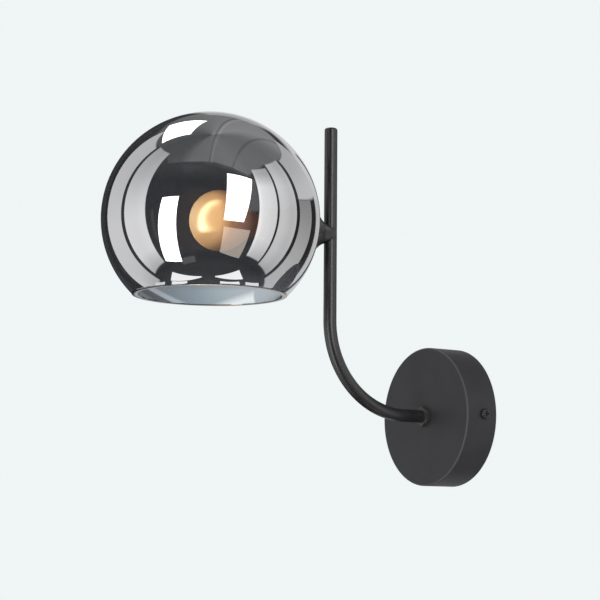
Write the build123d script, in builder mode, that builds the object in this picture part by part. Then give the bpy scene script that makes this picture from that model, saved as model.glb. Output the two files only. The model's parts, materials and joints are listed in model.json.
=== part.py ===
from build123d import *
import os
from math import asin, cos, degrees, radians, sin, sqrt

# Globe wall sconce. A round canopy covers a slotted bracket on the wall. An arm of bent
# tube leaves the canopy, turns upwards and passes through the small end of a trumpet
# shaped cone. The cone carries a lampholder, and a ring on the lampholder clamps a glass
# globe by a hole in its side. The globe is cut open at the bottom.
#
# Millimetres. The wall is the plane Y = 0, the sconce stands out towards -Y, and +Z is up.
# The origin is the centre of the bracket's back, on the wall.

# ---- Canopy ----
canopy_diameter = 108.0
canopy_depth = 28.0
canopy_wall = 1.5
canopy_edge_radius = 1.3

# ---- Wall bracket ----
bracket_thickness = 1.5
bracket_width = 14.0
bracket_bend_radius = 2.5
bracket_clearance = 0.6
tab_length = 18.0
tab_corner_radius = 3.5
slot_spacing = 66.0
slot_length = 14.0
slot_width = 5.0
cable_hole_diameter = 9.0
earth_offset = 15.0
tapped_collar_height = 2.0
tapped_collar_wall = 1.4

# ---- Side screws, M4 with pan heads ----
side_screw_diameter = 4.0
side_screw_length = 10.0
side_screw_depth = 11.5
side_head_diameter = 8.0
side_head_height = 2.6
side_head_round = 1.5
screw_hole_clearance = 0.2
thread_clearance = 0.05
head_seat_gap = 0.1
recess_length = 4.4
recess_width = 1.1
recess_depth = 1.4

# ---- Earth screw, M4, on the bracket ----
earth_screw_diameter = 4.0
earth_head_diameter = 7.0
earth_head_height = 2.4

# ---- Arm ----
arm_diameter = 10.0
arm_wall = 1.0
arm_reach = 117.5
arm_bend_radius = 69.0
arm_height = 218.5
arm_end_spare = 4.5
arm_cap_height = 2.0
arm_cap_plug = 6.0
arm_cap_round = 1.7
arm_side_hole_diameter = 6.4
plug_clearance = 0.05
bush_flange = 1.2
bush_length = 5.0
bush_wall = 1.0

# ---- Nuts on the arm and on the holder's nipple ----
nut_across_flats = 14.0
nut_chamfer = 0.9
collar_nut_thickness = 3.4
inner_nut_thickness = 4.0
nipple_nut_thickness = 3.0
washer_diameter = 18.0
washer_thickness = 1.0

# ---- Shade cone, round the lamp axis ----
lamp_height = 135.5
cone_length = 27.6
cone_mouth_diameter = 47.4
cone_wall = 1.5
saddle_depth = 2.0
saddle_wall = 0.9
neck_wall = 2.7
neck_reach = 8.0
neck_length = 12.5
neck_flare_radius = 25.0
nipple_setback = 6.5

# ---- Glass globe ----
globe_diameter = 160.0
globe_height = 157.0
glass_wall = 3.0
mouth_drop = 56.4
mouth_round = 0.9
globe_hole_clearance = 1.1
gasket_thickness = 0.6
gasket_width = 3.0
inner_gasket_thickness = 0.6
gasket_bore_clearance = 0.5

# ---- Lampholder ----
nipple_diameter = 10.0
nipple_bore = 7.0
nipple_engagement = 5.0
nipple_chamfer = 0.3
holder_diameter = 27.8
holder_wall = 1.7
holder_cap_length = 14.5
holder_cap_boss = 16.0
dome_lean = 0.5
holder_skirt_length = 32.5
skirt_spigot = 3.0
core_clearance = 0.2
core_setback = 2.5
core_length = 26.0
core_floor = 5.0
contact_thickness = 0.6
contact_width = 4.0
thread_shell_length = 15.0
lamp_clearance = 0.1

# ---- Shade ring ----
ring_clearance = 0.1
ring_flange_diameter = 39.0
ring_flange_thickness = 2.6
ring_collar_wall = 2.4
ring_collar_length = 4.6
ring_notches = 16
ring_notch_width = 2.0

# ---- Lamp, golf ball shape with a small screw cap ----
ball_diameter = 45.0
lamp_length = 79.5
lamp_seat_depth = 21.7
lamp_cap_diameter = 13.9
lamp_cap_length = 21.8
lamp_cap_wall = 0.4
lamp_cap_chamfer = 1.2
lamp_cap_flare_depth = 0.5
cap_rim_diameter = 17.0
lamp_contact_diameter = 4.8
lamp_contact_height = 1.0
lamp_insulator_height = 2.2
bulb_wall = 0.8
bulb_shoulder_angle = 55.0
bulb_neck_slope = 0.2
stem_diameter = 7.0
stem_length = 21.0
stem_recess = 7.0
stem_taper = 3.0
filament_diameter = 1.5
filament_length = 22.0
filament_count = 4
filament_circle = 10.0

# ---- Terminal block and wires ----
block_length = 16.0
block_width = 15.0
block_height = 11.0
block_offset = 8.5
block_edge_round = 0.8
pole_pitch = 7.5
wire_entry_diameter = 3.8
terminal_screw_diameter = 3.0
terminal_screw_pitch = 8.0
terminal_well_depth = 2.0
wire_diameter = 1.6
wire_spread = 2.4
wire_turn_radius = 6.0
wire_entry_radius = 4.5
wire_tail = 24.0
wire_in_block = 4.5

# ---- Shapes and places that follow ----
canopy_radius = canopy_diameter / 2
canopy_inside = canopy_radius - canopy_wall
tab_reach = sqrt(canopy_inside**2 - (bracket_width / 2) ** 2) - bracket_clearance
tab_inner_reach = tab_reach - bracket_thickness
arm_radius = arm_diameter / 2
arm_bore_radius = arm_radius - arm_wall
arm_inner_end = canopy_depth - canopy_wall - washer_thickness - inner_nut_thickness - arm_end_spare
arm_tube_top = arm_height - arm_cap_height

# Places along the lamp axis are measured from the arm's axis towards the room.
globe_radius = globe_diameter / 2
globe_half_height = globe_height / 2
gasket_outer = cone_mouth_diameter / 2
gasket_inner = gasket_outer - gasket_width
globe_offset = cone_length + gasket_thickness + sqrt(globe_radius**2 - gasket_inner**2)
neck_end_radius = arm_radius + saddle_wall
neck_radius = arm_radius + neck_wall
nipple_radius = nipple_diameter / 2
holder_radius = holder_diameter / 2
globe_hole_radius = holder_radius + globe_hole_clearance
holder_cap_start = neck_length + nipple_nut_thickness
skirt_start = holder_cap_start + holder_cap_length
skirt_end = skirt_start + holder_skirt_length
skirt_bore = holder_radius - holder_wall
core_end = skirt_end - core_setback
core_start = core_end - core_length
core_radius = skirt_bore - core_clearance
lamp_start = skirt_end - lamp_seat_depth
lamp_cap_start = lamp_start + lamp_contact_height + lamp_insulator_height
lamp_cap_end = lamp_cap_start + lamp_cap_length
ball_centre = lamp_start + lamp_length - ball_diameter / 2
ring_bore = holder_radius + ring_clearance
ring_flange_radius = ring_flange_diameter / 2
thread_shell_bore = lamp_cap_diameter / 2 + lamp_clearance
thread_shell_radius = thread_shell_bore + contact_thickness

# Working plane of the lamp: its first axis runs out from the wall and its second up.
lamp_plane = Plane(origin=(0, -arm_reach, lamp_height), x_dir=(0, -1, 0), z_dir=(-1, 0, 0))
lamp_axis = Axis((0, -arm_reach, lamp_height), (0, -1, 0))


def facing_room(distance):
    """Plane parallel to the wall that looks into the room."""
    return Plane(origin=(0, -distance, 0), x_dir=(1, 0, 0), z_dir=(0, -1, 0))


def along_lamp(station):
    """Plane square to the lamp axis that looks away from the arm."""
    return Plane(origin=(0, -arm_reach - station, lamp_height), x_dir=(1, 0, 0), z_dir=(0, -1, 0))


def inner_glass_station(radius):
    """Where the glass's inner face lies on the lamp axis, at a distance of radius from it."""
    inner_radius = globe_radius - glass_wall
    inner_half_height = globe_half_height - glass_wall
    return globe_offset - inner_radius * sqrt(1 - (radius / min(inner_radius, inner_half_height)) ** 2)


inner_gasket_back = inner_glass_station(ring_flange_radius)
ring_start = inner_gasket_back + inner_gasket_thickness + lamp_clearance


def finish(piece, name):
    """Name a piece and write it to its own file."""
    piece.part.label = name
    export_step(piece.part, f"parts/{name}.step")


os.makedirs("parts", exist_ok=True)

# ---- Canopy: a drum, open towards the wall ----
with BuildPart() as canopy:
    with BuildSketch(facing_room(0)):
        Circle(canopy_radius)
    extrude(amount=canopy_depth)
    fillet(canopy.faces().sort_by(Axis.Y)[0].edges(), canopy_edge_radius)
    offset(amount=-canopy_wall, openings=canopy.faces().sort_by(Axis.Y)[-1])
    with BuildSketch(facing_room(0)):
        Circle(arm_radius + thread_clearance)
    extrude(amount=canopy_depth, mode=Mode.SUBTRACT)
    with BuildSketch(Plane.YZ):
        with Locations((-side_screw_depth, 0)):
            Circle(side_screw_diameter / 2 + screw_hole_clearance)
    extrude(amount=canopy_radius, both=True, mode=Mode.SUBTRACT)
finish(canopy, "canopy")

# ---- Wall bracket: a strip with both ends bent forward and tapped ----
with BuildPart() as wall_bracket:
    with BuildSketch(Plane.XY):
        with BuildLine():
            Polyline(
                (-tab_reach, -tab_length),
                (-tab_reach, 0),
                (tab_reach, 0),
                (tab_reach, -tab_length),
                (tab_inner_reach, -tab_length),
                (tab_inner_reach, -bracket_thickness),
                (-tab_inner_reach, -bracket_thickness),
                (-tab_inner_reach, -tab_length),
                close=True,
            )
        strip_face = make_face()
        back_corners = strip_face.vertices().group_by(Axis.Y)[-1]
        bend_corners = strip_face.vertices().group_by(Axis.Y)[-2]
        fillet(back_corners, bracket_bend_radius)
        fillet(bend_corners, bracket_bend_radius - bracket_thickness)
    extrude(amount=bracket_width / 2, both=True)
    tab_corners = wall_bracket.edges().filter_by(Axis.X).group_by(Axis.Y)[0]
    fillet(tab_corners, tab_corner_radius)
    with BuildSketch(facing_room(0)):
        with Locations((-slot_spacing / 2, 0), (slot_spacing / 2, 0)):
            SlotOverall(slot_length, slot_width)
        Circle(cable_hole_diameter / 2)
        with Locations((earth_offset, 0)):
            Circle(earth_screw_diameter / 2)
    extrude(amount=bracket_thickness, mode=Mode.SUBTRACT)
    for side in (-1, 1):
        tab_inside = Plane(
            origin=(side * tab_inner_reach, -side_screw_depth, 0), x_dir=(0, 1, 0), z_dir=(-side, 0, 0)
        )
        with BuildSketch(tab_inside):
            Circle(side_screw_diameter / 2 + thread_clearance + tapped_collar_wall)
        extrude(amount=tapped_collar_height)
        with BuildSketch(tab_inside.offset(-bracket_thickness)):
            Circle(side_screw_diameter / 2 + thread_clearance)
        extrude(amount=bracket_thickness + tapped_collar_height, mode=Mode.SUBTRACT)
finish(wall_bracket, "wall_bracket")


def pan_screw(seat, diameter, length, head_diameter, head_height, head_round):
    """Screw whose head stands on the seat plane, with a cross recess in its top."""
    with BuildPart() as screw:
        with BuildSketch(seat):
            Circle(head_diameter / 2)
        extrude(amount=head_height)
        head_top = screw.faces().sort_by(Axis(seat.origin, seat.z_dir))[-1]
        fillet(head_top.edges(), head_round)
        with BuildSketch(seat):
            Circle(diameter / 2)
        extrude(amount=-length)
        with BuildSketch(seat.offset(head_height)):
            Rectangle(recess_length, recess_width)
            Rectangle(recess_width, recess_length)
        extrude(amount=-recess_depth, mode=Mode.SUBTRACT)
    return screw


# ---- Side screws that hold the canopy to the bracket ----
for side, name in ((-1, "side_screw_left"), (1, "side_screw_right")):
    rim = Plane(
        origin=(side * (canopy_radius + head_seat_gap), -side_screw_depth, 0),
        x_dir=(0, -1, 0),
        z_dir=(side, 0, 0),
    )
    side_screw = pan_screw(
        rim, side_screw_diameter, side_screw_length, side_head_diameter, side_head_height, side_head_round
    )
    finish(side_screw, name)

# ---- Earth screw on the bracket ----
bracket_front = Plane(origin=(earth_offset, -bracket_thickness, 0), x_dir=(1, 0, 0), z_dir=(0, -1, 0))
earth_screw = pan_screw(
    bracket_front,
    earth_screw_diameter,
    bracket_thickness,
    earth_head_diameter,
    earth_head_height,
    earth_head_height / 3,
)
finish(earth_screw, "earth_screw")

# ---- Arm: a tube out of the wall, a quarter bend and a straight rise ----
with BuildPart() as arm_tube:
    with BuildLine():
        FilletPolyline(
            (0, -arm_inner_end, 0),
            (0, -arm_reach, 0),
            (0, -arm_reach, arm_tube_top),
            radius=arm_bend_radius,
        )
    with BuildSketch(facing_room(arm_inner_end)):
        Circle(arm_radius)
        Circle(arm_bore_radius, mode=Mode.SUBTRACT)
    sweep()
    with BuildSketch(along_lamp(0)):
        Circle(arm_side_hole_diameter / 2)
    extrude(amount=arm_diameter, mode=Mode.SUBTRACT)
finish(arm_tube, "arm_tube")

# ---- Plug that closes the arm's top ----
with BuildPart() as arm_end_cap:
    with BuildSketch(Plane(origin=(0, -arm_reach, arm_tube_top))):
        Circle(arm_radius)
    extrude(amount=arm_cap_height)
    fillet(arm_end_cap.faces().sort_by(Axis.Z)[-1].edges(), arm_cap_round)
    with BuildSketch(Plane(origin=(0, -arm_reach, arm_tube_top))):
        Circle(arm_bore_radius - plug_clearance)
    extrude(amount=-arm_cap_plug)
    chamfer(arm_end_cap.faces().sort_by(Axis.Z)[0].edges(), arm_wall / 2)
finish(arm_end_cap, "arm_end_cap")

# ---- Bush in the arm's inner end, which keeps the wires off its edge ----
with BuildPart() as arm_bush:
    with BuildSketch(facing_room(arm_inner_end)):
        Circle(arm_bore_radius - plug_clearance)
    extrude(amount=bush_length)
    with BuildSketch(facing_room(arm_inner_end)):
        Circle(arm_radius)
    extrude(amount=-bush_flange)
    fillet(arm_bush.faces().sort_by(Axis.Y)[-1].edges(), bush_flange / 2)
    with BuildSketch(facing_room(arm_inner_end - bush_flange)):
        Circle(arm_bore_radius - bush_wall)
    extrude(amount=bush_flange + bush_length, mode=Mode.SUBTRACT)
finish(arm_bush, "arm_bush")


def hex_nut(base, thickness, bore_radius):
    """Hexagon with a corner up, whose corners are turned off in a cone at both faces."""
    corner_radius = nut_across_flats / 2 / cos(radians(30))
    with BuildPart() as turned_blank:
        with BuildSketch(base):
            Circle(corner_radius)
        extrude(amount=thickness)
        chamfer(turned_blank.edges().filter_by(GeomType.CIRCLE), nut_chamfer / 2, nut_chamfer)
    with BuildPart() as nut:
        with BuildSketch(base):
            RegularPolygon(corner_radius, 6, rotation=30)
        extrude(amount=thickness)
        add(turned_blank.part, mode=Mode.INTERSECT)
        with BuildSketch(base):
            Circle(bore_radius)
        extrude(amount=thickness, mode=Mode.SUBTRACT)
    return nut


# ---- Nuts and washer that clamp the arm to the canopy ----
collar_nut = hex_nut(facing_room(canopy_depth), collar_nut_thickness, arm_radius)
finish(collar_nut, "collar_nut")

washer_front = canopy_depth - canopy_wall
with BuildPart() as inner_lock_washer:
    with BuildSketch(facing_room(washer_front - washer_thickness)):
        Circle(washer_diameter / 2)
        Circle(arm_radius + thread_clearance, mode=Mode.SUBTRACT)
    extrude(amount=washer_thickness)
finish(inner_lock_washer, "inner_lock_washer")

inner_nut_back = washer_front - washer_thickness - inner_nut_thickness
inner_nut = hex_nut(facing_room(inner_nut_back), inner_nut_thickness, arm_radius)
finish(inner_nut, "inner_nut")

# ---- Shade cone: solid neck round the arm, hollow trumpet behind the glass ----
flare_slope = (cone_mouth_diameter / 2 - neck_radius) / (cone_length - neck_reach)
wall_rise = cone_wall * sqrt(1 + flare_slope**2)
cavity_floor_radius = neck_radius + flare_slope * (neck_length - neck_reach) - wall_rise
with BuildPart() as shade_cone:
    with BuildSketch(lamp_plane):
        with BuildLine():
            neck_start = Line((-saddle_depth, 0), (-saddle_depth, neck_end_radius))
            FilletPolyline(
                neck_start @ 1,
                (neck_reach, neck_radius),
                (cone_length, cone_mouth_diameter / 2),
                radius=neck_flare_radius,
            )
            Polyline(
                (cone_length, cone_mouth_diameter / 2),
                (cone_length, cone_mouth_diameter / 2 - wall_rise),
                (neck_length, cavity_floor_radius),
                (neck_length, 0),
                neck_start @ 0,
            )
        make_face()
    revolve(axis=lamp_axis)
    with BuildSketch(along_lamp(nipple_setback)):
        Circle(nipple_radius)
    extrude(amount=neck_length, mode=Mode.SUBTRACT)
    with BuildSketch(along_lamp(0)):
        Circle(arm_side_hole_diameter / 2)
    extrude(amount=neck_length, mode=Mode.SUBTRACT)
    with BuildSketch(Plane(origin=(0, -arm_reach, lamp_height))):
        Circle(arm_radius)
    extrude(amount=cone_mouth_diameter, both=True, mode=Mode.SUBTRACT)
finish(shade_cone, "shade_cone")

# ---- Hollow nipple and its lock nut, which carry the lampholder ----
nipple_end = holder_cap_start + nipple_engagement
with BuildPart() as holder_nipple:
    with BuildSketch(along_lamp(nipple_setback)):
        Circle(nipple_radius)
        Circle(nipple_bore / 2, mode=Mode.SUBTRACT)
    extrude(amount=nipple_end - nipple_setback)
    chamfer(holder_nipple.edges().filter_by(GeomType.CIRCLE), nipple_chamfer)
finish(holder_nipple, "holder_nipple")

nipple_nut = hex_nut(along_lamp(neck_length), nipple_nut_thickness, nipple_radius)
finish(nipple_nut, "nipple_nut")

# ---- Lampholder: domed cap behind, threaded skirt in front ----
with BuildPart() as holder_cap:
    with BuildSketch(lamp_plane):
        with BuildLine():
            dome_start = (holder_cap_start, holder_cap_boss / 2)
            dome_end = (holder_cap_start + holder_radius / 2, holder_radius)
            Line((holder_cap_start, 0), dome_start)
            Spline(dome_start, dome_end, tangents=[(dome_lean, 1), (1, 0)])
            Polyline(dome_end, (skirt_start, holder_radius), (skirt_start, 0), (holder_cap_start, 0))
        make_face()
    revolve(axis=lamp_axis)
    with BuildSketch(along_lamp(nipple_end)):
        Circle(skirt_bore)
    extrude(amount=skirt_start - nipple_end, mode=Mode.SUBTRACT)
    with BuildSketch(along_lamp(holder_cap_start)):
        Circle(nipple_radius)
    extrude(amount=holder_cap_length, mode=Mode.SUBTRACT)
finish(holder_cap, "holder_cap")

with BuildPart() as holder_skirt:
    with BuildSketch(along_lamp(skirt_start)):
        Circle(holder_radius)
    extrude(amount=holder_skirt_length)
    front_rim = holder_skirt.faces().sort_by(Axis.Y)[0].edges()
    fillet(front_rim, holder_wall / 3)
    with BuildSketch(along_lamp(skirt_start)):
        Circle(skirt_bore)
    extrude(amount=holder_skirt_length, mode=Mode.SUBTRACT)
    with BuildSketch(along_lamp(skirt_start)):
        Circle(skirt_bore - plug_clearance)
        Circle(skirt_bore - plug_clearance - holder_wall / 2, mode=Mode.SUBTRACT)
    extrude(amount=-skirt_spigot)
    with BuildSketch(along_lamp(skirt_start)):
        Circle(skirt_bore + plug_clearance)
        Circle(skirt_bore - plug_clearance - holder_wall / 2, mode=Mode.SUBTRACT)
    extrude(amount=holder_wall / 2)
finish(holder_skirt, "holder_skirt")

# ---- Insulating core: a cup round the brass thread, open to the lamp ----
floor_top = core_start + core_floor
tail_offset = wire_spread / 2
tail_inset = contact_thickness / 2
with BuildPart() as holder_core:
    with BuildSketch(along_lamp(core_start)):
        Circle(core_radius)
    extrude(amount=core_length)
    with BuildSketch(along_lamp(floor_top)):
        Circle(thread_shell_radius)
    extrude(amount=core_length, mode=Mode.SUBTRACT)
    with BuildSketch(along_lamp(core_start)):
        with Locations((0, tail_offset), (0, -tail_offset)):
            Rectangle(contact_width + lamp_clearance, contact_thickness + lamp_clearance)
    extrude(amount=core_floor, mode=Mode.SUBTRACT)
finish(holder_core, "holder_core")


def bent_strip(points):
    """Brass strip that follows an outline in the plane of the arm."""
    with BuildPart() as strip:
        with BuildSketch(lamp_plane):
            with BuildLine():
                Polyline(*points, close=True)
            make_face()
        extrude(amount=contact_width / 2, both=True)
    return strip


# ---- Centre contact: a tail through the core's floor and a foot under the lamp's tip ----
foot_end = lamp_start - lamp_clearance
foot_start = foot_end - contact_thickness
centre_contact = bent_strip(
    [
        (wire_tail, tail_offset - tail_inset),
        (wire_tail, tail_offset + tail_inset),
        (foot_end, tail_offset + tail_inset),
        (foot_end, -lamp_contact_diameter / 2),
        (foot_start, -lamp_contact_diameter / 2),
        (foot_start, tail_offset - tail_inset),
    ]
)
finish(centre_contact, "centre_contact")

# ---- Thread contact: brass shell that the lamp screws into, with its tail ----
shell_end = core_end - core_setback
shell_start = shell_end - thread_shell_length
tail_foot = floor_top + contact_thickness
with BuildPart() as thread_contact:
    with BuildSketch(along_lamp(shell_start)):
        Circle(thread_shell_radius)
        Circle(thread_shell_bore, mode=Mode.SUBTRACT)
    extrude(amount=thread_shell_length)
    with BuildSketch(lamp_plane):
        with BuildLine():
            Polyline(
                (wire_tail, -tail_offset + tail_inset),
                (wire_tail, -tail_offset - tail_inset),
                (floor_top, -tail_offset - tail_inset),
                (floor_top, -thread_shell_bore - contact_thickness / 2),
                (shell_start + contact_thickness, -thread_shell_bore - contact_thickness / 2),
                (shell_start + contact_thickness, -thread_shell_bore),
                (tail_foot, -thread_shell_bore),
                (tail_foot, -tail_offset + tail_inset),
                close=True,
            )
        make_face()
    extrude(amount=contact_width / 2, both=True)
finish(thread_contact, "thread_contact")

# ---- Glass globe: blown shell, cut flat below, with a hole for the lampholder ----
globe_centre = (0, -arm_reach - globe_offset, lamp_height)
globe_plane = Plane(origin=globe_centre, x_dir=(1, 0, 0), z_dir=(0, -1, 0))
globe_axis = Axis(globe_centre, (0, 0, 1))


def shell_arc(half_width, half_height):
    """Upright elliptical arc from the mouth's plane up to the globe's top."""
    mouth_angle = -degrees(asin(mouth_drop / half_height))
    return EllipticalCenterArc(
        (0, 0), half_width, half_height, start_angle=mouth_angle, arc_size=90 - mouth_angle
    )


with BuildPart() as glass_globe:
    with BuildSketch(globe_plane):
        with BuildLine():
            outside = shell_arc(globe_radius, globe_half_height)
            inside = shell_arc(globe_radius - glass_wall, globe_half_height - glass_wall)
            Line(outside @ 0, inside @ 0)
            Line(outside @ 1, inside @ 1)
        section = make_face()
        fillet(section.vertices().group_by(Axis.Y)[0], mouth_round)
    revolve(axis=globe_axis)
    with BuildSketch(along_lamp(0)):
        Circle(globe_hole_radius)
    extrude(amount=globe_offset, mode=Mode.SUBTRACT)
finish(glass_globe, "glass_globe")

# ---- Soft rings on both sides of the glass, each with one face shaped by it ----
with BuildPart() as globe_outside:
    with BuildSketch(globe_plane):
        with BuildLine():
            outside = shell_arc(globe_radius, globe_half_height)
            Polyline(outside @ 1, (0, (outside @ 0).Y), outside @ 0)
        make_face()
    revolve(axis=globe_axis)

with BuildPart() as outer_gasket:
    with BuildSketch(along_lamp(cone_length)):
        Circle(gasket_outer)
        Circle(gasket_inner, mode=Mode.SUBTRACT)
    extrude(amount=globe_offset - cone_length)
    add(globe_outside.part, mode=Mode.SUBTRACT)
finish(outer_gasket, "outer_gasket")

with BuildPart() as globe_inside:
    with BuildSketch(globe_plane):
        with BuildLine():
            inside = shell_arc(globe_radius - glass_wall, globe_half_height - glass_wall)
            Polyline(inside @ 1, (0, (inside @ 0).Y), inside @ 0)
        make_face()
    revolve(axis=globe_axis)

inner_gasket_bore = globe_hole_radius + gasket_bore_clearance
with BuildPart() as inner_gasket:
    with BuildSketch(along_lamp(inner_gasket_back + inner_gasket_thickness)):
        Circle(ring_flange_radius)
        Circle(inner_gasket_bore, mode=Mode.SUBTRACT)
    extrude(amount=inner_gasket_thickness - ring_start)
    add(globe_inside.part, mode=Mode.INTERSECT)
finish(inner_gasket, "inner_gasket")

# ---- Shade ring: clamps the glass, turned by the notches in its flange ----
ring_collar_radius = ring_bore + ring_collar_wall
with BuildPart() as shade_ring:
    with BuildSketch(along_lamp(ring_start)):
        Circle(ring_flange_radius)
    extrude(amount=ring_flange_thickness)
    with BuildSketch(along_lamp(ring_start)):
        with PolarLocations(ring_flange_radius, ring_notches):
            Circle(ring_notch_width / 2)
    extrude(amount=ring_flange_thickness, mode=Mode.SUBTRACT)
    with BuildSketch(along_lamp(ring_start)):
        Circle(ring_collar_radius)
    extrude(amount=ring_flange_thickness + ring_collar_length)
    fillet(shade_ring.faces().sort_by(Axis.Y)[0].edges(), ring_collar_wall / 3)
    with BuildSketch(along_lamp(ring_start)):
        Circle(ring_bore)
    extrude(amount=ring_flange_thickness + ring_collar_length, mode=Mode.SUBTRACT)
finish(shade_ring, "shade_ring")

# ---- Lamp: blown ball with a neck that flares out of its screw cap ----
neck_glass_radius = cap_rim_diameter / 2 - lamp_cap_wall


def bulb_face(inset):
    """Half of the bulb's section, moved in by the inset."""
    radius = ball_diameter / 2 - inset
    angle = radians(bulb_shoulder_angle)
    mouth = (lamp_cap_end, neck_glass_radius - inset)
    shoulder = (ball_centre - radius * cos(angle), radius * sin(angle))
    crown = (ball_centre + radius * sin(angle), radius * cos(angle))
    tip = (ball_centre + radius, 0)
    with BuildSketch() as section:
        with BuildLine():
            Line((lamp_cap_end, 0), mouth)
            Spline(mouth, shoulder, tangents=[(1, bulb_neck_slope), (sin(angle), cos(angle))])
            ThreePointArc(shoulder, crown, tip)
            Line(tip, (lamp_cap_end, 0))
        make_face()
    return section.sketch


with BuildPart() as bulb_glass:
    with BuildSketch(lamp_plane):
        add(bulb_face(0))
        add(bulb_face(bulb_wall), mode=Mode.SUBTRACT)
    revolve(axis=lamp_axis)
finish(bulb_glass, "bulb_glass")

# ---- Lamp cap: thin metal cup, flared to take the neck of the glass ----
cap_radius = lamp_cap_diameter / 2
rim_radius = cap_rim_diameter / 2
rim_start = skirt_end - lamp_cap_flare_depth
with BuildPart() as bulb_cap:
    with BuildSketch(lamp_plane):
        with BuildLine():
            Polyline(
                (lamp_cap_start, cap_radius - lamp_cap_chamfer),
                (lamp_cap_start + lamp_cap_chamfer, cap_radius),
                (rim_start, cap_radius),
                (rim_start + rim_radius - cap_radius, rim_radius),
                (lamp_cap_end, rim_radius),
                (lamp_cap_end, rim_radius - lamp_cap_wall),
                (rim_start + rim_radius - cap_radius, rim_radius - lamp_cap_wall),
                (rim_start, cap_radius - lamp_cap_wall),
                (lamp_cap_start + lamp_cap_chamfer, cap_radius - lamp_cap_wall),
                (lamp_cap_start, cap_radius - lamp_cap_chamfer - lamp_cap_wall),
                close=True,
            )
        make_face()
    revolve(axis=lamp_axis)
finish(bulb_cap, "bulb_cap")

with BuildPart() as bulb_insulator:
    with BuildSketch(along_lamp(lamp_start + lamp_contact_height)):
        Circle(lamp_contact_diameter / 2 + lamp_cap_wall)
    with BuildSketch(along_lamp(lamp_cap_start)):
        Circle(cap_radius - lamp_cap_chamfer)
    loft()
finish(bulb_insulator, "bulb_insulator")

with BuildPart() as bulb_contact:
    with BuildSketch(along_lamp(lamp_start)):
        Circle(lamp_contact_diameter / 2)
    extrude(amount=lamp_contact_height)
    fillet(bulb_contact.faces().sort_by(Axis.Y)[-1].edges(), lamp_contact_height / 2)
finish(bulb_contact, "bulb_contact")

# ---- Stem and light strips inside the ball ----
stem_start = lamp_cap_end - stem_recess
with BuildPart() as bulb_stem:
    with BuildSketch(along_lamp(stem_start)):
        Circle(stem_diameter / 2)
    extrude(amount=stem_length, taper=stem_taper)
finish(bulb_stem, "bulb_stem")

with BuildPart() as led_filaments:
    with BuildSketch(along_lamp(stem_start + stem_length)):
        with PolarLocations(filament_circle / 2, filament_count):
            Circle(filament_diameter / 2)
    extrude(amount=filament_length)
finish(led_filaments, "led_filaments")

# ---- Terminal block on the bracket ----
block_front = bracket_thickness + block_height
block_centre = -block_offset - block_length / 2
wire_depth = bracket_thickness + block_height / 2
with BuildPart() as terminal_block:
    with BuildSketch(facing_room(bracket_thickness)):
        with Locations((block_centre, 0)):
            RectangleRounded(block_length, block_width, block_edge_round)
    extrude(amount=block_height)
    with BuildSketch(Plane(origin=(-block_offset, -wire_depth, 0), x_dir=(0, 1, 0), z_dir=(-1, 0, 0))):
        with GridLocations(pole_pitch, pole_pitch, 1, 2):
            Circle(wire_entry_diameter / 2)
    extrude(amount=block_length, mode=Mode.SUBTRACT)
    with BuildSketch(facing_room(block_front)):
        with Locations((block_centre, 0)):
            with GridLocations(terminal_screw_pitch, pole_pitch, 2, 2):
                Circle(terminal_screw_diameter / 2 + thread_clearance)
    extrude(amount=-block_height / 2, mode=Mode.SUBTRACT)
finish(terminal_block, "terminal_block")

with BuildPart() as terminal_screws:
    with BuildSketch(facing_room(block_front - terminal_well_depth)):
        with Locations((block_centre, 0)):
            with GridLocations(terminal_screw_pitch, pole_pitch, 2, 2):
                Circle(terminal_screw_diameter / 2)
    extrude(amount=wire_depth + wire_diameter / 2 + terminal_well_depth - block_front)
finish(terminal_screws, "terminal_screws")


# ---- Wires: from the terminal block, through the arm, to the lampholder ----
def wire_route(offset_up):
    """Route in the plane of the arm, on one side of its axis; the ends spread to the poles."""
    pole_side = 1 if offset_up > 0 else -1
    pole = (-block_offset - wire_in_block, -wire_depth, pole_side * pole_pitch / 2)
    bush = (0, -wire_depth, offset_up)
    elbow = (0, -arm_reach + offset_up, offset_up)
    outlet = (0, -arm_reach + offset_up, lamp_height + offset_up)
    tail = (0, -arm_reach - wire_tail, lamp_height + offset_up)
    radii = [wire_entry_radius, arm_bend_radius - offset_up, wire_turn_radius + offset_up]
    return [pole, bush, elbow, outlet, tail], radii


for offset_up, name in ((wire_spread / 2, "live_wire"), (-wire_spread / 2, "neutral_wire")):
    points, radii = wire_route(offset_up)
    with BuildPart() as wire:
        with BuildLine() as route:
            FilletPolyline(*points, radius=radii)
        start = route.line @ 0
        with BuildSketch(Plane(origin=start, z_dir=route.line % 0)):
            Circle(wire_diameter / 2)
        sweep()
    finish(wire, name)
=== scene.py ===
import json
import math

import bmesh
import bpy
from mathutils import Matrix, Vector

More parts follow.
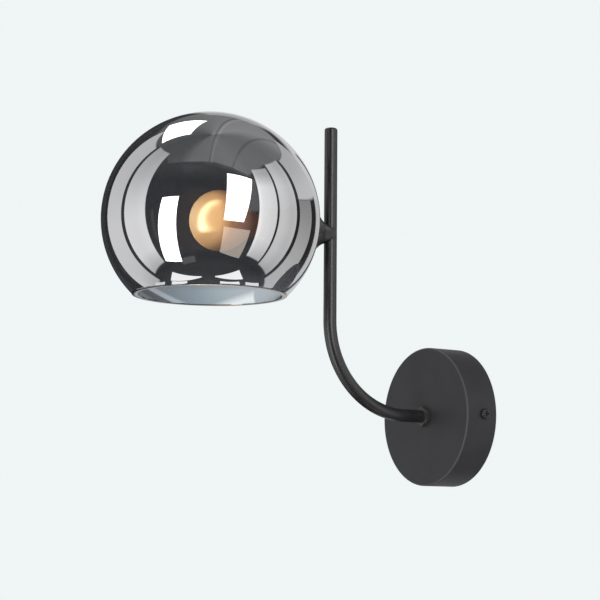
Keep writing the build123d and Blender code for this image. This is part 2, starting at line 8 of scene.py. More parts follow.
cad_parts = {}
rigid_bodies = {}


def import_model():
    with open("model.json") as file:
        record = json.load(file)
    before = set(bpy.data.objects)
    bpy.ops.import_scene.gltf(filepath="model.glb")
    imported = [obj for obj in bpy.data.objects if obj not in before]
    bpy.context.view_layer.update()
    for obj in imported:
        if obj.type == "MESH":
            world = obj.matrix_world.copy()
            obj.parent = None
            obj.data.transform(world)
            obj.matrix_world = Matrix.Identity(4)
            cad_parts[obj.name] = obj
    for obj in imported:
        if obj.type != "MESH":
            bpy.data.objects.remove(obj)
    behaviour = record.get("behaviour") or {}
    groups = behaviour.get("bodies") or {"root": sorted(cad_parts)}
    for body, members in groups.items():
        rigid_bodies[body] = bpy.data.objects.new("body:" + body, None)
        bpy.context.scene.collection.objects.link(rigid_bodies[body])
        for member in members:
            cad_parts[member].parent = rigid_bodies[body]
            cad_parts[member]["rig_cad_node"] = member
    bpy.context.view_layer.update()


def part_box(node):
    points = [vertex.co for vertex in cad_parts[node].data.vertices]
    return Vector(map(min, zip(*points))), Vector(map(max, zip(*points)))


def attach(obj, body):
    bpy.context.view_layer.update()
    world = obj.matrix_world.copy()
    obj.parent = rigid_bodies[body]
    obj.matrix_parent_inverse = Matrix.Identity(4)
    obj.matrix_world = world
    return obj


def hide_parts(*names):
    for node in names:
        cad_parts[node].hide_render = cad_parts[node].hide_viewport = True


# Globe wall sconce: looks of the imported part. Metres, the wall is Y = 0, the room lies
# towards -Y and Z is up.
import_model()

# ---- Sizes shared with the source of the part ----
LAMP_HEIGHT = 0.1355
GLOBE_RADIUS = 0.080
GLOBE_HALF_HEIGHT = 0.0785
GLASS_WALL = 0.003
MOUTH_DROP = 0.0564
GLOBE_HOLE = 0.0150
LIP_ROUND = 0.0009
BALL_RADIUS = 0.0225
CANOPY_ROUND_RADIUS = 0.0528
CANOPY_ROUND_DEPTH = 0.0268
GLOBE_CENTRE = Vector((0.0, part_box("glass_globe")[0].y + GLOBE_RADIUS, LAMP_HEIGHT))
BALL_CENTRE = Vector((0.0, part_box("bulb_glass")[0].y + BALL_RADIUS, LAMP_HEIGHT))

# Material slots of the globe's mesh
OUTER_SKIN, INNER_SKIN, LIP = 0, 1, 2


# ---- Node helpers ----
class Tree:
    """Short names for the nodes of a material or of the world."""

    def __init__(self, owner):
        owner.use_nodes = True
        self.tree = owner.node_tree
        self.tree.nodes.clear()

    def fill(self, socket, value):
        """Link the socket to another one, or set its own value."""
        if isinstance(value, bpy.types.NodeSocket):
            self.tree.links.new(value, socket)
        else:
            socket.default_value = value

    def node(self, kind, **sockets):
        n = self.tree.nodes.new(kind)
        for key, value in sockets.items():
            self.fill(n.inputs[key.replace("_", " ")], value)
        return n

    def math(self, operation, *values, clamp=False):
        n = self.tree.nodes.new("ShaderNodeMath")
        n.operation = operation
        n.use_clamp = clamp
        for socket, value in zip(n.inputs, values):
            self.fill(socket, value)
        return n.outputs[0]

    def line(self, value, scale, offset=0.0, clamp=False):
        """The value times scale, plus offset."""
        return self.math("MULTIPLY_ADD", value, scale, offset, clamp=clamp)

    def product(self, first, *others):
        for other in others:
            first = self.math("MULTIPLY", first, other)
        return first

    def vector(self, operation, *values, output="Vector", **sockets):
        n = self.tree.nodes.new("ShaderNodeVectorMath")
        n.operation = operation
        for socket, value in zip(n.inputs, values):
            self.fill(socket, value)
        for key, value in sockets.items():
            self.fill(n.inputs[key], value)
        return n.outputs[output]

    def axes(self, vector):
        return self.node("ShaderNodeSeparateXYZ", Vector=vector).outputs

    def blend(self, share, first, second):
        """Colour mix: the first where the share is 0, the second where it is 1."""
        n = self.tree.nodes.new("ShaderNodeMix")
        n.data_type = "RGBA"
        for socket, value in zip((n.inputs[0], n.inputs[6], n.inputs[7]), (share, first, second)):
            self.fill(socket, (*value, 1.0) if isinstance(value, tuple) else value)
        return n.outputs[2]

    def ramp(self, value, stops):
        """Colour or grey level that follows stops along a value from 0 to 1."""
        n = self.tree.nodes.new("ShaderNodeValToRGB")
        self.tree.links.new(value, n.inputs[0])
        while len(n.color_ramp.elements) < len(stops):
            n.color_ramp.elements.new(0.5)
        for element, (position, colour) in zip(n.color_ramp.elements, stops):
            if not isinstance(colour, tuple):
                colour = (colour, colour, colour)
            element.position = position
            element.color = (*colour, 1.0)
        return n.outputs[0]


class Look(Tree):
    """A material under way, in the part's own coordinates."""

    def __init__(self, name):
        self.material = bpy.data.materials.new(name)
        super().__init__(self.material)
        self.output = self.tree.nodes.new("ShaderNodeOutputMaterial")
        self.coords = self.tree.nodes.new("ShaderNodeTexCoord").outputs["Object"]

    def noise(self, scale, detail):
        return self.node(
            "ShaderNodeTexNoise", Vector=self.coords, Scale=scale, Detail=detail, Roughness=0.55
        ).outputs["Fac"]

    def bump(self, height, strength, distance):
        return self.node("ShaderNodeBump", Strength=strength, Distance=distance, Height=height).outputs[0]

    def finish(self, shader):
        self.tree.links.new(shader.outputs[0], self.output.inputs[0])
        return self.material


# ---- Coats, metals and plastics ----
def scaled(colour, factor):
    return tuple(c * factor for c in colour)


def powder_coat(name, colour, roughness, grain=2200.0, level=0.5):
    """Black powder coat: fine grain, slightly uneven gloss."""
    t = Look(name)
    broad = t.noise(60.0, 2.0)
    fine = t.noise(grain, 2.0)
    shader = t.node(
        "ShaderNodeBsdfPrincipled",
        Base_Color=t.ramp(broad, [(0.3, scaled(colour, 0.86)), (0.7, scaled(colour, 1.14))]),
        Roughness=t.ramp(broad, [(0.25, roughness - 0.04), (0.75, roughness + 0.05)]),
        Specular_IOR_Level=level,
        Normal=t.bump(fine, 0.25, 0.00004),
    )
    return t.finish(shader)


def canopy_coat_with_painted_edge_highlight():
    """Duller powder coat. The rounded edge of the canopy's face gets a paler base colour, a painted
    highlight.
    """
    t = Look("black_canopy_coat_painted_edge_highlight")
    soft = 0.0004
    # Painted highlight: outer and front mask the rounded edge of the face, where the base colour is lifted
    # to a paler grey.
    radius = t.vector("LENGTH", t.vector("MULTIPLY", t.coords, (1.0, 0.0, 1.0)), output="Value")
    outer = t.line(radius, 1 / soft, -CANOPY_ROUND_RADIUS / soft, clamp=True)
    front = t.line(t.axes(t.coords)[1], -1 / soft, -CANOPY_ROUND_DEPTH / soft, clamp=True)
    broad = t.noise(60.0, 2.0)
    coat = t.ramp(broad, [(0.3, (0.026, 0.026, 0.028)), (0.7, (0.032, 0.032, 0.0345))])
    shader = t.node(
        "ShaderNodeBsdfPrincipled",
        Base_Color=t.blend(t.product(outer, front), coat, (0.066, 0.066, 0.069)),
        Roughness=t.ramp(broad, [(0.25, 0.46), (0.75, 0.54)]),
        Specular_IOR_Level=0.30,
        Normal=t.bump(t.noise(2200.0, 2.0), 0.25, 0.00004),
    )
    return t.finish(shader)


def plated(name, colour, roughness):
    """Plated or bare metal with fine marks from turning."""
    t = Look(name)
    marks = t.noise(400.0, 4.0)
    shader = t.node(
        "ShaderNodeBsdfPrincipled",
        Base_Color=t.ramp(t.noise(90.0, 2.0), [(0.3, scaled(colour, 0.82)), (0.7, colour)]),
        Metallic=1.0,
        Roughness=t.ramp(marks, [(0.3, roughness * 0.8), (0.7, roughness * 1.3)]),
        Normal=t.bump(marks, 0.15, 0.00002),
    )
    return t.finish(shader)


def moulded(name, colour, roughness, strength=0.12):
    """Moulded plastic or rubber with a faint skin."""
    t = Look(name)
    fine = t.noise(900.0, 3.0)
    shader = t.node(
        "ShaderNodeBsdfPrincipled",
        Base_Color=t.ramp(t.noise(80.0, 2.0), [(0.3, scaled(colour, 0.88)), (0.7, colour)]),
        Roughness=t.ramp(fine, [(0.3, roughness - 0.05), (0.7, roughness + 0.05)]),
        Normal=t.bump(fine, strength, 0.00003),
    )
    return t.finish(shader)


# ---- Glass ----
def polished(t, colour, roughness=0.01):
    """What a glass face mirrors."""
    return t.node("ShaderNodeBsdfPrincipled", Base_Color=colour, Metallic=1.0, Roughness=roughness)


def edge_share(t, straight, power=5.0):
    """Share that a glass face mirrors: straight on it is small, and it grows to 1 at the edge."""
    facing = t.node("ShaderNodeLayerWeight", Blend=0.5).outputs["Facing"]
    return t.line(t.math("POWER", facing, power), 1.0 - straight, straight)


def mixed(t, share, through, mirror):
    """Mix of what passes through a face and what it mirrors."""
    mix = t.node("ShaderNodeMixShader", Fac=share)
    t.tree.links.new(through.outputs[0], mix.inputs[1])
    t.tree.links.new(mirror.outputs[0], mix.inputs[2])
    return mix


def clear_skin(name, tint, straight):
    """Clear glass face."""
    t = Look(name)
    clear = t.node("ShaderNodeBsdfTransparent", Color=(*tint, 1.0))
    return t.finish(mixed(t, edge_share(t, straight), clear, polished(t, (0.95, 0.96, 0.97, 1.0))))


def round_mouth(t, y):
    """Place along the lamp axis, as 0 at 250 mm from the wall and 1 at 150 mm."""
    return t.line(y, 10.0, 2.5)


def smoke_mirror_with_painted_light():
    """Coat on the outer face: half mirror and smoky. Seen from inside it hardly mirrors, and what it
    passes from inside near the mouth carries painted light and painted reflections.
    """
    t = Look("glass_smoke_mirror_painted_light")
    inside = t.node("ShaderNodeNewGeometry").outputs["Backfacing"]
    axes = t.axes(t.coords)
    y, z = axes[1], axes[2]
    # Painted light: seen from inside, the glass passes more light towards the mouth, from one height over
    # a span, unevenly round it.
    painted_light_from, painted_light_span = 0.108, 0.016
    painted_light_share = t.line(z, -1.0 / painted_light_span, painted_light_from / painted_light_span, clamp=True)
    painted_light_around = t.ramp(
        round_mouth(t, y),
        [
            (0.00, (0.22, 0.23, 0.25)),
            (0.18, (0.23, 0.24, 0.26)),
            (0.32, (0.26, 0.29, 0.32)),
            (0.50, (0.33, 0.38, 0.43)),
            (0.66, (0.46, 0.51, 0.55)),
            (0.80, (0.55, 0.58, 0.62)),
        ],
    )
    # Painted reflections: streaks that slant down to the lip, a dark one beside a light one.
    slanted = t.line(t.math("ADD", y, t.line(z, 2.0)), 20.0, 1.8)
    painted_reflection_streaks = t.ramp(
        slanted, [(0.22, 0.5), (0.34, 0.29), (0.54, 0.29), (0.63, 0.98), (0.76, 0.90), (0.86, 0.5)]
    )
    painted_light_streaked = t.vector("SCALE", painted_light_around, Scale=t.line(painted_reflection_streaks, 2.0))
    # Painted highlight: a near-white patch in a corner of the mouth, below one slanted line and in front
    # of another.
    below = t.math("SUBTRACT", t.line(y, 0.42, 0.16196), z)
    before = t.math("ADD", t.line(y, -1.0, -0.2075), t.line(z, 0.46))
    soft_below, soft_before = 0.0055, 0.0008
    corner = t.product(
        t.line(below, 1 / soft_below, clamp=True),
        t.line(before, 1 / soft_before, 0.5, clamp=True),
    )
    low = t.blend(corner, painted_light_streaked, (0.98, 1.0, 1.0))
    behind = t.blend(painted_light_share, (0.16, 0.165, 0.18), low)
    clear = t.node("ShaderNodeBsdfTransparent", Color=t.blend(inside, (0.60, 0.60, 0.63), behind))
    tint = t.ramp(t.noise(30.0, 2.0), [(0.3, (0.85, 0.85, 0.86)), (0.7, (0.88, 0.88, 0.89))])
    mirrored_outside, mirrored_inside = 0.78, 0.07
    share = t.line(inside, mirrored_inside - mirrored_outside, mirrored_outside)
    return t.finish(mixed(t, share, clear, polished(t, tint, 0.012)))


def glass_rim_with_painted_glint():
    """Solid glass of the lip: bends what lies behind it and mirrors at its edges, with a painted orange
    glint.
    """
    t = Look("glass_rim_with_painted_glint")
    tint = t.ramp(t.noise(60.0, 2.0), [(0.3, (0.40, 0.42, 0.44)), (0.7, (0.46, 0.48, 0.50))])
    # Painted glint: the lamp's orange light is painted into a stretch of the lip, on the side away from
    # the camera.
    axes = t.axes(t.coords)
    along = t.ramp(round_mouth(t, axes[1]), [(0.48, 0.0), (0.52, 0.9), (0.68, 0.9), (0.72, 0.0)])
    painted_glint_far_side = t.line(axes[0], -100.0, -2.0, clamp=True)
    bent = t.node(
        "ShaderNodeBsdfRefraction",
        Color=t.blend(t.product(along, painted_glint_far_side), tint, (0.95, 0.60, 0.38)),
        Roughness=0.0,
        IOR=1.45,
    )
    return t.finish(mixed(t, edge_share(t, 0.45, 3.0), bent, polished(t, (0.46, 0.47, 0.49, 1.0))))


def lit_bulb():
    """Amber bulb that glows: a soft bright arc over the front of the ball, dim towards the neck."""
    t = Look("bulb_amber_glow")
    unit = t.vector("SCALE", t.vector("SUBTRACT", t.coords, BALL_CENTRE), Scale=1.0 / BALL_RADIUS)
    axes = t.axes(unit)
    y, z = axes[1], axes[2]
    warm = t.ramp(
        t.line(y, -0.5, 0.5),
        [
            (0.0, (0.05, 0.02, 0.012)),
            (0.38, (0.26, 0.13, 0.085)),
            (0.56, (0.42, 0.20, 0.09)),
            (0.74, (1.0, 0.55, 0.22)),
            (0.88, (1.0, 0.58, 0.24)),
            (1.0, (1.0, 0.66, 0.32)),
        ],
    )
    # The arc is where the ball meets a plane, between two heights. Its lower end is hottest.
    arc_normal, arc_offset = (0.876, -0.443, -0.193), 0.764
    off = t.math("SUBTRACT", t.vector("DOT_PRODUCT", unit, arc_normal, output="Value"), arc_offset)
    height = t.line(z, 0.5, 0.5)
    wide = t.ramp(height, [(0.24, 0.13), (0.34, 0.12), (0.50, 0.095), (0.72, 0.085), (0.84, 0.05)])
    ratio = t.math("DIVIDE", off, wide)
    band = t.math("POWER", math.e, t.line(t.product(ratio, ratio), -1.0))
    span = t.ramp(
        height, [(0.22, 0.0), (0.30, 1.0), (0.37, 0.78), (0.62, 0.62), (0.72, 0.50), (0.82, 0.0)]
    )
    ahead = t.ramp(t.line(y, -1.0), [(0.35, 0.0), (0.60, 1.0)])
    glow = t.product(band, span, ahead)
    # The ball is brightest round its middle height, and the arc adds to that.
    middle_strength, falloff, arc_strength = 6.2, -4.6, 12.0
    strength = t.math("ADD", t.line(t.product(z, z), falloff, middle_strength), t.line(glow, arc_strength))
    shader = t.node(
        "ShaderNodeBsdfPrincipled",
        Base_Color=(0.30, 0.17, 0.08, 1.0),
        Roughness=0.35,
        Emission_Color=t.blend(glow, warm, (1.0, 0.80, 0.40)),
        Emission_Strength=strength,
    )
    return t.finish(shader)


# ---- Materials of the nodes ----
SATIN = powder_coat("black_satin_coat", (0.015, 0.015, 0.0165), roughness=0.33, level=0.85)
SCREW = powder_coat("black_screw_finish", (0.018, 0.018, 0.020), roughness=0.30, grain=1500.0)
ZINC = plated("zinc_plated_steel", (0.72, 0.73, 0.74), 0.32)
BRASS = plated("brass", (0.80, 0.60, 0.28), 0.28)
WHITE_PLASTIC = moulded("white_plastic", (0.82, 0.81, 0.78), 0.40)
BLACK_PLASTIC = moulded("black_plastic", (0.020, 0.020, 0.022), 0.38)
RUBBER = moulded("black_rubber", (0.018, 0.018, 0.018), 0.60, strength=0.25)

NODE_MATERIALS = {
    "canopy": canopy_coat_with_painted_edge_highlight(),
    "wall_bracket": ZINC,
    "side_screw_left": SCREW,
    "side_screw_right": SCREW,
    "earth_screw": ZINC,
    "arm_tube": SATIN,
    "arm_end_cap": SATIN,
    "arm_bush": WHITE_PLASTIC,
    "collar_nut": powder_coat("black_nut_coat", (0.036, 0.036, 0.038), roughness=0.40),
    "inner_lock_washer": ZINC,
    "inner_nut": ZINC,
    "shade_cone": SATIN,
    "holder_nipple": ZINC,
    "nipple_nut": ZINC,
    "holder_cap": BLACK_PLASTIC,
    "holder_skirt": BLACK_PLASTIC,
    "holder_core": WHITE_PLASTIC,
    "centre_contact": BRASS,
    "thread_contact": BRASS,
    "outer_gasket": RUBBER,
    "inner_gasket": RUBBER,
    "shade_ring": BLACK_PLASTIC,
    "bulb_glass": lit_bulb(),
    "bulb_cap": ZINC,
    "bulb_insulator": moulded("bulb_insulator", (0.05, 0.03, 0.04), 0.30),
    "bulb_contact": ZINC,
    "bulb_stem": WHITE_PLASTIC,
    "led_filaments": moulded("filament", (0.95, 0.62, 0.20), 0.50),
    "terminal_block": WHITE_PLASTIC,
    "terminal_screws": ZINC,
    "live_wire": moulded("brown_wire_sheath", (0.16, 0.06, 0.03), 0.45),
    "neutral_wire": moulded("blue_wire_sheath", (0.03, 0.10, 0.45), 0.45),
}
for obj in list(bpy.data.objects):
    name = obj.get("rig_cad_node")
    if name in NODE_MATERIALS:
        obj.data.materials.clear()
        obj.data.materials.append(NODE_MATERIALS[name])


# ---- Glass globe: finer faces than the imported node, and its two skins apart ----
def circle(radius, count):
    """Points of a circle round the origin, as pairs."""
    turns = (2 * math.pi * k / count for k in range(count))
    return [(radius * math.cos(turn), radius * math.sin(turn)) for turn in turns]


def shell_ring(semi_width, semi_height, polar, count):
    """Points of the shell at an angle from the lamp axis, measured from the arm's side."""
    depth, flatness = semi_width * math.cos(polar), semi_height / semi_width
    return [Vector((x, depth, z * flatness)) for x, z in circle(semi_width * math.sin(polar), count)]


def hole_ring(semi_width, semi_height, count):
    """Points where the hole round the lamp axis meets the shell."""
    return [
        Vector((x, semi_width * math.sqrt(1 - (x / semi_width) ** 2 - (z / semi_height) ** 2), z))
        for x, z in circle(GLOBE_HOLE, count)
    ]


def add_shell(bm, inset, slot_index, cut, count=176, rings=110):
    """One skin of the globe, cut off below at cut. Returns the ring at the side hole."""
    a, b = GLOBE_RADIUS - inset, GLOBE_HALF_HEIGHT - inset
    first = math.asin(GLOBE_HOLE / a)
    loops = [hole_ring(a, b, count)]
    for i in range(1, rings):
        loops.append(shell_ring(a, b, first + (math.pi - first) * i / rings, count))
    verts = [[bm.verts.new(p) for p in loop] for loop in loops]
    pole = bm.verts.new(Vector((0.0, -a, 0.0)))
    faces = []
    for k in range(count):
        n = (k + 1) % count
        for lower, upper in zip(verts, verts[1:]):
            faces.append(bm.faces.new((lower[n], upper[n], upper[k], lower[k])))
        faces.append(bm.faces.new((verts[-1][n], pole, verts[-1][k])))
    for f in faces:
        f.material_index = slot_index
        f.smooth = True
    edges = {e for f in faces for e in f.edges}
    bmesh.ops.bisect_plane(
        bm,
        geom=[pole, *(v for loop in verts for v in loop), *faces, *edges],
        plane_co=(0, 0, cut),
        plane_no=(0, 0, -1),
        clear_outer=True,
        use_snap_center=False,
    )
    return verts[0]


def mouth_radius(inset, cut):
    """Radius of a skin at the height of the cut."""
    return (GLOBE_RADIUS - inset) * math.sqrt(1 - (cut / (GLOBE_HALF_HEIGHT - inset)) ** 2)


def add_lip(bm, cut, steps=10, turns=240, squareness=0.6):
    """Rounded lip below the cut, from the outer skin to the inner one."""
    radius_out, radius_in = mouth_radius(0.0, cut), mouth_radius(GLASS_WALL, cut)
    middle, half = (radius_out + radius_in) / 2, (radius_out - radius_in) / 2
    rows = []
    for i in range(steps + 1):
        angle = math.pi * i / steps
        r = middle + half * math.copysign(abs(math.cos(angle)) ** squareness, math.cos(angle))
        z = cut - LIP_ROUND * math.sin(angle) ** squareness
        rows.append([bm.verts.new((x, y, z)) for x, y in circle(r, turns)])
    for upper, lower in zip(rows, rows[1:]):
        for k in range(turns):
            n = (k + 1) % turns
            face = bm.faces.new((upper[k], lower[k], lower[n], upper[n]))
            face.material_index = LIP
            face.smooth = True


def true_normals(mesh):
    """Normals of the form itself on both skins, so that faces cut at the lip mirror smoothly."""
    normals = []
    for polygon in mesh.polygons:
        inset = GLASS_WALL * polygon.material_index
        flatten = ((GLOBE_RADIUS - inset) / (GLOBE_HALF_HEIGHT - inset)) ** 2
        for corner in polygon.vertices:
            out = mesh.vertices[corner].co - GLOBE_CENTRE
            if polygon.material_index == LIP:
                normals.append(Vector())
            else:
                normals.append(Vector((out.x, out.y, out.z * flatten)).normalized())
    return normals


def build_globe():
    """The globe as one mesh: smoky outer skin, clear inner skin, rims of solid glass."""
    bm = bmesh.new()
    cut = -MOUTH_DROP + LIP_ROUND
    outer = add_shell(bm, 0.0, OUTER_SKIN, cut)
    inner = add_shell(bm, GLASS_WALL, INNER_SKIN, cut)
    for k in range(len(outer)):
        n = (k + 1) % len(outer)
        bm.faces.new((outer[k], inner[k], inner[n], outer[n])).material_index = LIP
    add_lip(bm, cut)
    bmesh.ops.translate(bm, verts=bm.verts, vec=GLOBE_CENTRE)
    mesh = bpy.data.meshes.new("globe_glass")
    bm.to_mesh(mesh)
    bm.free()
    mesh.normals_split_custom_set(true_normals(mesh))
    for look in (smoke_mirror_with_painted_light(), clear_skin("glass_clear_skin", (0.975, 0.98, 0.985), 0.02), glass_rim_with_painted_glint()):
        mesh.materials.append(look)
    return mesh


def place(name, mesh):
    """Object with this mesh, in the scene."""
    placed = bpy.data.objects.new(name, mesh)
    bpy.context.scene.collection.objects.link(placed)
    return placed


globe = place("globe_glass", build_globe())
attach(globe, "fixture")
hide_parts("glass_globe")


# ---- Studio: lit quads that only mirrors and surfaces see ----
CARD_DISTANCE = 2.4


def heading(azimuth, elevation):
    """Unit vector in a direction. Azimuth 0 is out from the wall, 90 towards +X."""
    a, e = math.radians(azimuth), math.radians(elevation)
    return Vector((math.sin(a) * math.cos(e), -math.cos(a) * math.cos(e), math.sin(e)))


def flat_sheet(name, corners, material):
    """Quad with its corners given in order round it."""
    mesh = bpy.data.meshes.new(name)
    mesh.from_pydata(corners, [], [(0, 1, 2, 3)])
    mesh.materials.append(material)
    return place(name, mesh)


def card(name, corners, radiance, tint=(1.0, 1.0, 1.0)):
    """Lit quad, its corners in four directions: top left, top right, bottom left, bottom right."""
    tl, tr, bl, br = (GLOBE_CENTRE + heading(*c) * CARD_DISTANCE for c in corners)
    look = Look(name)
    colour = look.ramp(look.noise(1.5, 1.0), [(0.3, scaled(tint, 0.97)), (0.7, tint)])
    glow = look.node("ShaderNodeEmission", Color=colour, Strength=radiance)
    light = flat_sheet(name, [tl, tr, br, bl], look.finish(glow))
    light.visible_camera = False
    light.visible_shadow = False


card("window_front", ((9.9, 12.6), (27.6, 13.2), (-6.6, -45.4), (16.2, -51.9)), 3.0)
card("window_right", ((78.2, 38.0), (105.9, 31.7), (73.4, -11.1), (94.2, -11.6)), 3.0)
card("window_overhead", ((-95.0, 48.5), (-114.7, 63.4), (-47.2, 57.4), (-46.3, 76.1)), 3.0)
card("window_low", ((73.9, -17.9), (103.0, -18.5), (72.7, -44.8), (101.8, -47.7)), 0.48, (1.0, 0.90, 0.78))
card("bow_left", ((-12.4, -56.1), (36.1, -72.0), (-32.4, -59.1), (36.1, -73.2)), 1.25)
card("bow_right", ((75.2, -72.0), (115.1, -58.0), (75.2, -73.2), (139.0, -62.3)), 1.25)
card("dash_left", ((-32.3, -60.1), (-9.6, -70.3), (-44.0, -60.2), (-24.6, -72.3)), 1.2)
card("dash_far_left", ((-54.1, -46.8), (-41.8, -54.8), (-61.8, -45.8), (-50.8, -54.7)), 0.9)
card("dash_right", ((99.2, -76.4), (139.9, -66.0), (116.7, -80.1), (154.1, -66.1)), 1.2)
card("dash_far_right", ((149.5, -61.6), (166.0, -51.6), (160.4, -62.2), (174.7, -51.2)), 1.0)

# ---- Studio: pale floor ----
FLOOR_REACH = 12.0
FLOOR_HEIGHT = -1.6
look = Look("studio_floor_paint")
tint = look.ramp(look.noise(3.0, 2.0), [(0.0, (0.90, 0.92, 0.92)), (1.0, (0.93, 0.95, 0.95))])
paint = look.finish(look.node("ShaderNodeBsdfPrincipled", Base_Color=tint, Roughness=0.8))
signs = [(-1, -1), (1, -1), (1, 1), (-1, 1)]
corners = [(x * FLOOR_REACH, y * FLOOR_REACH, FLOOR_HEIGHT) for x, y in signs]
floor = flat_sheet("studio_floor", corners, paint)
floor.visible_glossy = False

# ---- Studio: the room that mirrors see, in bearings and rises ----
world = bpy.data.worlds.new("studio_world")
bpy.context.scene.world = world
w = Tree(world)
direction = w.tree.nodes.new("ShaderNodeTexCoord").outputs["Generated"]
east, north, upward = w.axes(direction)
south = w.line(north, -1.0)
# The bearing runs from 0 to 360 degrees, 0 out from the wall and 90 towards +X.
bearing = w.line(w.math("ARCTAN2", east, south), 180.0 / math.pi, 360.0)
bearing = w.math("MODULO", bearing, 360.0)
rise = w.line(w.math("ARCSINE", upward), 180.0 / math.pi)


def profile(value, stops):
    """Level that follows stops along a value. The places are in the value's own units."""
    low, high = stops[0][0], stops[-1][0]
    share = w.line(value, 1.0 / (high - low), -low / (high - low))
    return w.ramp(share, [((at - low) / (high - low), level) for at, level in stops])


def angle_profile(value, low, stops, span=100.0):
    """Angle, within a span above the low one, that follows stops along a value."""
    return w.line(profile(value, [(at, (angle - low) / span) for at, angle in stops]), span, low)


def beyond(value, edge, soft):
    """0 below the edge and 1 above it. The edge is an angle or another profile."""
    if isinstance(edge, bpy.types.NodeSocket):
        value, edge = w.math("SUBTRACT", value, edge), 0.0
    return w.line(value, 1.0 / soft, 0.5 - edge / soft, clamp=True)


def within(value, low, high, soft):
    """1 between two edges and 0 outside them."""
    return w.product(beyond(value, low, soft), w.math("SUBTRACT", 1.0, beyond(value, high, soft)))


def panel(start, end, bottom, top, level, soft=0.8, soft_top=1.5):
    """Upright pale panel between two bearings and two rises."""
    return w.product(within(bearing, start, end, soft), within(rise, bottom, top, soft_top), level)


# Panels of pale paper round the object with thin gaps between them. Each is lit unevenly.
LIT_LEFT_INNER = [
    (-48, 0.55), (-42, 0.66), (-30, 0.97), (-13, 0.97), (-1, 0.98),
    (10, 0.90), (18, 0.82), (33, 0.64), (49, 0.53), (58, 0.48),
]
LIT_LEFT_OUTER = [
    (-50, 0.54), (-44, 0.60), (-34, 0.74), (-17, 0.79), (2, 0.80),
    (16, 0.73), (26, 0.67), (37, 0.64), (49, 0.63),
]
LIT_RIGHT_INNER = [
    (-44, 0.60), (-41, 0.64), (-24, 0.96), (-10, 1.0), (3, 1.0),
    (25, 1.0), (31, 0.76), (37, 0.56), (45, 0.50),
]
LIT_RIGHT_MIDDLE = [
    (-45, 0.54), (-38, 0.66), (-24, 0.76), (-10, 0.80), (7, 0.78), (26, 0.84), (34, 0.72), (42, 0.62),
]
LIT_RIGHT_LOW = [(-46, 0.56), (-30, 0.58), (-14, 0.52), (-2, 0.44), (11, 0.35), (16, 0.33)]
LIT_RIGHT_TOP = [(15, 0.70), (24, 0.68), (33, 0.57), (44, 0.52)]
LIT_BEHIND = [(-60, 0.60), (-10, 0.66), (12, 0.66), (26, 0.80), (34, 0.62), (40, 0.40)]
LIT_ROUND = [
    (90, 1.0), (111, 1.0), (116, 0.82), (127, 0.72), (133, 0.70), (135, 1.0), (141, 1.0),
    (152, 0.84), (161, 0.88), (166, 1.0), (319, 0.96), (335, 0.94), (345, 1.0), (360, 1.0),
]
sideways = profile(bearing, LIT_ROUND)
slanted_edge = angle_profile(rise, 200.0, [(0, 284.5), (16, 284.3), (50, 276.8), (60, 276.0)])
panels = [
    panel(319.6, 349.0, -45.5, 56.0, w.product(profile(rise, LIT_LEFT_INNER), sideways)),
    panel(slanted_edge, 314.2, -50.0, 53.0, profile(rise, LIT_LEFT_OUTER)),
    panel(111.0, 132.6, -43.0, 42.5, w.product(profile(rise, LIT_RIGHT_INNER), 1.28, sideways)),
    panel(135.4, 160.5, -44.7, 45.5, w.product(profile(rise, LIT_RIGHT_MIDDLE), sideways)),
    panel(165.7, 206.0, 16.5, 43.5, profile(rise, LIT_RIGHT_TOP)),
    panel(165.7, 190.5, -46.0, 16.5, profile(rise, LIT_RIGHT_LOW)),
    panel(204.0, 243.0, -60.0, 34.0, profile(rise, LIT_BEHIND), soft=3.0, soft_top=6.0),
    panel(222.0, 243.0, 30.0, 44.0, 0.50, soft=4.0, soft_top=6.0),
    panel(97.0, 111.0, 0.0, 33.0, 0.11, soft=3.0, soft_top=5.0),
    panel(13.0, 37.0, -56.0, -49.0, 0.10, soft=3.0),
    panel(355.0, 360.0, -30.0, 5.0, 0.06, soft=4.0, soft_top=12.0),
]

# The ceiling: its edge runs across the front, and beams cross it.
CEILING_EDGE = [
    (0, 46), (21, 50), (43, 52), (65, 51.5), (85, 46), (95, 40.5), (103, 36), (112, 39), (132, 45),
    (200, 42), (225, 40), (243, 36), (270, 46), (315, 54), (349, 52), (360, 46),
]
CEILING_LEVEL = [
    (0, 0.085), (13, 0.095), (30, 0.17), (80, 0.205), (110, 0.18), (150, 0.165), (172, 0.19),
    (196, 0.31), (223, 0.28), (245, 0.20), (285, 0.12), (330, 0.08), (360, 0.085),
]
BEAM_BEARING = math.radians(143.0)
# Each beam: where it starts and ends across its run, how soft it is, how much lighter it is
BEAMS = [(0.030, 0.052, 0.012, -0.35), (0.055, 0.085, 0.016, 0.22), (0.38, 0.41, 0.016, -0.32)]
ceiling_edge = angle_profile(bearing, 0.0, CEILING_EDGE)
across = w.math("ADD", w.line(east, math.sin(BEAM_BEARING)), w.line(south, math.cos(BEAM_BEARING)))
shade = 1.0
for start, end, soft, lighter in BEAMS:
    shade = w.math("ADD", w.product(within(across, start, end, soft), lighter), shade)
ceiling = w.product(beyond(rise, ceiling_edge, 3.0), profile(bearing, CEILING_LEVEL), shade)
faint = w.product(within(bearing, 45.0, 112.0, 16.0), beyond(rise, ceiling_edge, 22.0), 0.16)
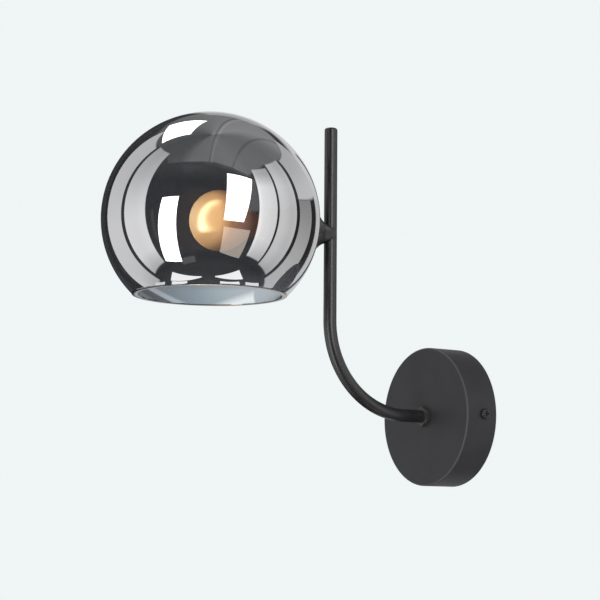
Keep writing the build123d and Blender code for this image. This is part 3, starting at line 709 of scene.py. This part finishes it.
# Dim walls and floor between the panels
DIM_LEVEL = [
    (-90, 0.03), (-58, 0.032), (-50, 0.020), (-40, 0.03), (0, 0.026), (30, 0.022), (45, 0.045), (90, 0.05),
]
room = profile(rise, DIM_LEVEL)
for sheet in (ceiling, faint, *panels):
    room = w.math("MAXIMUM", room, sheet)

# Matt surfaces see an even pale room, and the camera sees the pale background.
path = w.tree.nodes.new("ShaderNodeLightPath")
grey = w.node("ShaderNodeCombineColor", Red=room, Green=room, Blue=room).outputs[0]
matt = w.blend(path.outputs["Is Diffuse Ray"], grey, (0.86, 0.87, 0.88))
seen = w.blend(path.outputs["Is Camera Ray"], matt, (0.87, 0.91, 0.915))
background = w.node("ShaderNodeBackground", Color=seen)
w.tree.links.new(background.outputs[0], w.tree.nodes.new("ShaderNodeOutputWorld").inputs[0])

# ---- Camera at the photograph's place ----
PHOTO_WIDTH = 600.0
FOCAL_LENGTH_IN_PIXELS = 1680.1
CAMERA_PLACE = (1.0506, -0.82461, -0.0916)
CAMERA_AZIMUTH, CAMERA_ELEVATION, CAMERA_ROLL = 57.092, -7.922, math.radians(0.476)
back = heading(CAMERA_AZIMUTH, CAMERA_ELEVATION)
level_right = heading(CAMERA_AZIMUTH + 90.0, 0.0)
level_up = back.cross(level_right)
right = level_right * math.cos(CAMERA_ROLL) + level_up * math.sin(CAMERA_ROLL)
up = level_up * math.cos(CAMERA_ROLL) - level_right * math.sin(CAMERA_ROLL)
camera_data = bpy.data.cameras.new("camera")
camera_data.sensor_width = 36.0
camera_data.sensor_fit = "HORIZONTAL"
camera_data.lens = FOCAL_LENGTH_IN_PIXELS / PHOTO_WIDTH * camera_data.sensor_width
camera_data.clip_start, camera_data.clip_end = 0.05, 60.0
camera = place("camera", camera_data)
rows = [(right[i], up[i], back[i], CAMERA_PLACE[i]) for i in range(3)]
camera.matrix_world = Matrix((*rows, (0.0, 0.0, 0.0, 1.0)))
bpy.context.scene.camera = camera
bpy.context.scene.view_settings.view_transform = "Standard"
